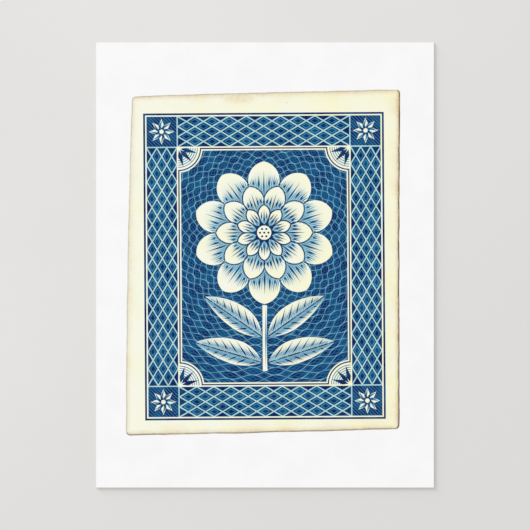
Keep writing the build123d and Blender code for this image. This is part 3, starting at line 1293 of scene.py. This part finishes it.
@dataclass
class Panel:
    """The waved panel and its flower, with the fine lines that shade it. Sizes in millimetres."""

    inks: Inks
    band: FrameBand
    panel_inset: float = 11.95
    margin: float = 3.6
    radius: float = 22.9
    height: float = 67.32
    wash: Colour = srgb(126, 184, 200)
    wash_sides: int = 96
    hatch: float = 0.32
    clear: float = 0.2
    light_turn: float = radians(135)
    light_back: float = 0.3
    petal_reach: float = 0.46
    petal_side_reach: float = 0.3
    petal_side_power: float = 1.5
    petal_shade_reach: float = 0.34
    petal_odd_reach: float = 0.12
    petal_shade_width: float = 0.35
    stem: float = 1.5
    stem_length: float = 21.1
    stem_strokes: tuple[float, ...] = (0.46, 0.14)
    leaf_gap: float = 0.42
    leaf_length: float = 22.1
    leaf_shoulder: float = 9.0
    leaf_depths: tuple[float, float] = (4.4, 2.9)
    leaf_pitch: float = 0.62
    leaf_reaches: tuple[float, float] = (0.62, 0.86)
    leaf_odd_reach: float = 0.14
    leaf_widths: tuple[float, float] = (1.0, 1.2)
    leaf_field: float = 25.0
    under_share: float = 0.6
    leaves: tuple[tuple[float, float], ...] = ((2.8, radians(17)), (11.2, radians(35)))
    vein_slant: float = radians(40)
    rings: tuple[Ring, ...] = (
        Ring(base=8.6, tip=22.9, crown=6.0, turn=pi / 2, hatch=18),
        Ring(base=4.8, tip=15.4, crown=4.3, turn=pi / 2 + pi / 10, hatch=12),
        Ring(base=2.72, tip=8.8, crown=2.6, turn=pi / 2, hatch=4),
    )

    def __post_init__(self) -> None:
        """Finds how much the flower is enlarged to fit the panel, and where its blossom is."""
        wide = self.band.width - 2 * (self.panel_inset + self.margin)
        tall = self.band.height - 2 * (self.panel_inset + self.margin)
        size = min(wide / (2 * self.radius), tall / self.height)
        self.film = self.band.thin_film
        self.flower = self.band.place.moved(0, 0, size)
        self.blossom = self.band.place.moved(0, size * (self.height / 2 - self.radius), size)
        self.light = Vector((cos(self.light_turn), sin(self.light_turn)))
        self.foot = -self.height / 2
        self.leaf_foot = self.stem / 2 + self.leaf_gap

    def petal_hatch(self) -> Piece:
        """Makes fine lines from the base of every petal's open part, longest away from the light.

        Returns:
            The piece.
        """
        shape = bmesh.new()
        for level, ring in enumerate(self.rings):
            step = 2 * pi / ring.count
            for petal, line in product(range(ring.count), range(ring.hatch)):
                share = (line + 0.5) / ring.hatch - 0.5
                angle = ring.turn + (petal + share) * step
                out = Vector((cos(angle), sin(angle)))
                side = out.orthogonal() * 2 * share
                shade = max(-side.dot(self.light), 0) - self.light_back * out.dot(self.light)
                over = [cover.edge(angle) + cover.line for cover in self.rings[level + 1:]]
                start = max(ring.base, *over, 0) + self.clear
                reach = self.petal_reach + self.petal_odd_reach * (line % 2)
                reach += self.petal_side_reach * abs(2 * share) ** self.petal_side_power
                reach += self.petal_shade_reach * shade
                length = (ring.edge(angle) - self.clear - start) * min(reach, 1)
                if length > 2 * self.hatch:
                    width = self.hatch * (1 + self.petal_shade_width * shade)
                    flat_shape(shape, 3, tapered(out * start, out * (start + length), width))
        return lay("petal_hatch", shape, self.blossom, self.film, Slot.BLUE, self.inks.thin)

    def petal_wash(self, sides: tuple[Side, ...]) -> Piece:
        """Makes a disc of thin wash under the ground, which shows in the petals.

        Args:
            sides: The sides of the cream field that it lies on.

        Returns:
            The piece.
        """
        shape = bmesh.new()
        flat_shape(shape, self.wash_sides, Matrix.Scale(self.radius - 2 * self.clear, 4))
        finish = PetalFinish(
            name="washed_petals", sides=sides, place=self.blossom, rings=self.rings,
            wash=self.wash)
        film = self.band.wash_film
        return lay("petal_wash", shape, self.blossom, film, Slot.BLUE, finish.material())

    def leaf_wash(self, sides: tuple[Side, ...]) -> Piece:
        """Makes a field of thin wash under the ground, which shows in the leaves.

        Args:
            sides: The sides of the cream field that it lies on.

        Returns:
            The piece.
        """
        leaves = tuple(
            Leaf(side * self.leaf_foot, self.foot + rise, pi / 2 - side * (pi / 2 - angle), side)
            for (rise, angle), side in product(self.leaves, (1, -1))
        )
        shape = bmesh.new()
        middle = Vector((0, self.foot + self.leaf_field / 2, 0))
        flat_block(shape, middle, 2 * (self.leaf_foot + self.leaf_length), self.leaf_field)
        finish = LeafFinish(
            name="washed_leaves", sides=sides, place=self.flower, leaves=leaves,
            length=self.leaf_length, depths=self.leaf_depths, wash=self.wash)
        film = self.band.wash_film * self.under_share
        return lay("leaf_wash", shape, self.flower, film, Slot.BLUE, finish.material())

    def leaf_height(self, x: float, depth: float) -> float:
        """How far a leaf's edge stands from its middle line.

        Args:
            x: The place along the leaf.
            depth: How far it stands at the widest place.

        Returns:
            The distance, at 0 and less beyond the ends.
        """
        before = x < self.leaf_shoulder
        run = self.leaf_shoulder if before else self.leaf_length - self.leaf_shoulder
        bend = (run**2 + depth**2) / (2 * depth)
        return depth - bend + sqrt(max(bend**2 - (x - self.leaf_shoulder) ** 2, 0))

    def leaf_half(self, depth: float, most: float, width: float) -> list[Matrix]:
        """The fine lines between the veins of half a leaf.

        Args:
            depth: How far the half stands from the middle line at its widest place.
            most: How much of the way to the edge an even line runs.
            width: A line's width at its root.

        Returns:
            The matrices for flat_shape, with the leaf along +X and the half above it.
        """
        strokes = []
        slant = Vector((cos(self.vein_slant), sin(self.vein_slant)))
        for line in range(int(self.leaf_length / self.leaf_pitch)):
            root = Vector(((line + 0.5) * self.leaf_pitch, (self.leaf_gap + self.clear) / 2))
            reach = 0.0
            while self.leaf_height(root.x + slant.x * reach, depth) > slant.y * reach + self.clear:
                reach += self.clear
            reach *= most + self.leaf_odd_reach * (line % 2)
            if reach > 2 * self.hatch:
                strokes.append(tapered(root, root + slant * reach, width))
        return strokes

    def leaf_hatch(self) -> Piece:
        """Makes fine lines between the veins of the leaves, longer on their shaded lower halves.

        Returns:
            The piece.
        """
        shape = bmesh.new()
        halves = zip((1, -1), self.leaf_depths, self.leaf_reaches, self.leaf_widths)
        for (up, depth, most, width), (rise, angle) in product(halves, self.leaves):
            foot = Matrix.Translation((self.leaf_foot, self.foot + rise, 0))
            place = foot @ Matrix.Rotation(angle, 4, "Z") @ Matrix.Diagonal((1, up, 1, 1))
            strokes = self.leaf_half(depth, most, width * self.hatch)
            for side, stroke in product((1, -1), strokes):
                flat_shape(shape, 3, Matrix.Diagonal((side, 1, 1, 1)) @ place @ stroke)
        return lay("leaf_hatch", shape, self.flower, self.film, Slot.BLUE, self.inks.thin)

    def stem_shade(self) -> Piece:
        """Makes two long strokes that round the stem.

        Returns:
            The piece.
        """
        shape = bmesh.new()
        for away in self.stem_strokes:
            x = away * self.stem
            low = Vector((x, self.foot + self.clear))
            top = Vector((x, self.foot + self.stem_length - self.clear))
            flat_shape(shape, 4, swelled(low, top, self.hatch * (1 + away)))
        return lay("stem_shade", shape, self.flower, self.film, Slot.BLUE, self.inks.thin)

    def build(self, sides: tuple[Side, ...]) -> None:
        """Dresses the panel and its flower and adds the fine lines.

        Args:
            sides: The sides of the cream field under the panel.
        """
        dress("panel_ground", self.inks.waved(self.blossom))
        for node in ("petal_strokes", "disc_stipple", "leaf_veins"):
            dress(node, self.inks.full)
        self.petal_wash(sides)
        self.leaf_wash(sides)
        self.petal_hatch()
        self.leaf_hatch()
        self.stem_shade()


@dataclass
class Studio:
    """Floor, light and camera. Lengths in metres."""

    floor_colour: Colour = srgb(229, 228, 226)
    floor_shade: Colour = srgb(225, 224, 222)
    floor_size: float = 3.0
    floor_drop: float = 0.02 * MM
    floor_cells: int = 8
    picture_field: float = 0.1694
    distance: float = 0.60
    sensor: float = 36.0
    key_turn: float = radians(135)
    key_rise: float = radians(12.8)
    key_distance: float = 6.0
    key_size: float = 2.62
    key_share: float = 0.225
    fill_share: float = 0.8

    def floor(self) -> None:
        """A pale floor with faint clouds and painted shade that darkens it towards the lower right.
        """
        shape = bmesh.new()
        bmesh.ops.create_grid(
            shape, x_segments=self.floor_cells, y_segments=self.floor_cells,
            size=self.floor_size / 2)
        bmesh.ops.translate(shape, verts=shape.verts, vec=(0, 0, -self.floor_drop))
        mesh = bpy.data.meshes.new("floor")
        shape.to_mesh(mesh)
        shape.free()
        finish = FloorFinish(
            name="pale_floor_painted_falloff", colour=self.floor_colour, shade=self.floor_shade)
        mesh.materials.append(finish.material())
        piece = bpy.data.objects.new("floor", mesh)
        bpy.context.scene.collection.objects.link(piece)

    def lamp(self) -> None:
        """A low soft lamp from the upper left, which gives the key's share of the light."""
        lamp = bpy.data.lights.new("key", "AREA")
        lamp.size = self.key_size
        lamp.energy = self.key_share * pi * pi * self.key_distance**2 / sin(self.key_rise)
        piece = bpy.data.objects.new("key", lamp)
        away = Matrix.Rotation(self.key_turn, 3, "Z") @ Matrix.Rotation(-self.key_rise, 3, "Y")
        piece.location = away @ Vector((self.key_distance, 0, 0))
        piece.rotation_euler = (-piece.location).to_track_quat("-Z", "Y").to_euler()
        bpy.context.scene.collection.objects.link(piece)

    def surround(self) -> None:
        """An even surround that gives the rest of the light, and looks like the floor itself."""
        world = bpy.data.worlds.new("surround")
        bpy.context.scene.world = world
        world.use_nodes = True
        nodes, links = world.node_tree.nodes, world.node_tree.links
        path = nodes.new("ShaderNodeLightPath")
        seen = path.outputs["Is Camera Ray"]
        for ray in ("Is Glossy Ray", "Is Transmission Ray"):
            either = nodes.new("ShaderNodeMath")
            either.operation = "MAXIMUM"
            links.new(seen, either.inputs[0])
            links.new(path.outputs[ray], either.inputs[1])
            seen = either.outputs[0]
        mixed = nodes.new("ShaderNodeMix")
        mixed.data_type = "RGBA"
        links.new(seen, mixed.inputs[0])
        mixed.inputs[6].default_value = (self.fill_share, self.fill_share, self.fill_share, 1)
        mixed.inputs[7].default_value = (*self.floor_colour, 1)
        links.new(mixed.outputs[2], nodes["Background"].inputs["Color"])

    def camera(self) -> None:
        """A long lens that looks straight down on the card, with the picture's top up."""
        lens = bpy.data.cameras.new("camera")
        lens.sensor_width = self.sensor
        lens.lens = self.sensor * self.distance / self.picture_field
        piece = bpy.data.objects.new("camera", lens)
        low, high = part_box("face_coating")
        middle = (low + high) / 2
        piece.location = (middle.x, middle.y, high.z + self.distance)
        bpy.context.scene.collection.objects.link(piece)
        bpy.context.scene.camera = piece

    def build(self) -> None:
        """Sets the stage."""
        bpy.context.scene.view_settings.view_transform = "Standard"
        self.floor()
        self.lamp()
        self.surround()
        self.camera()


def main() -> None:
    """Dresses the card from the board up, then sets the stage."""
    logging.basicConfig(level=logging.INFO, format="%(name)s: %(message)s")
    Board().dress()
    WritingSide().dress()
    cream = CreamField()
    cream.build()
    inks = Inks()
    band = FrameBand(inks)
    band.build()
    Panel(inks, band).build(cream.sides)
    Studio().build()


if __name__ == "__main__":
    main()
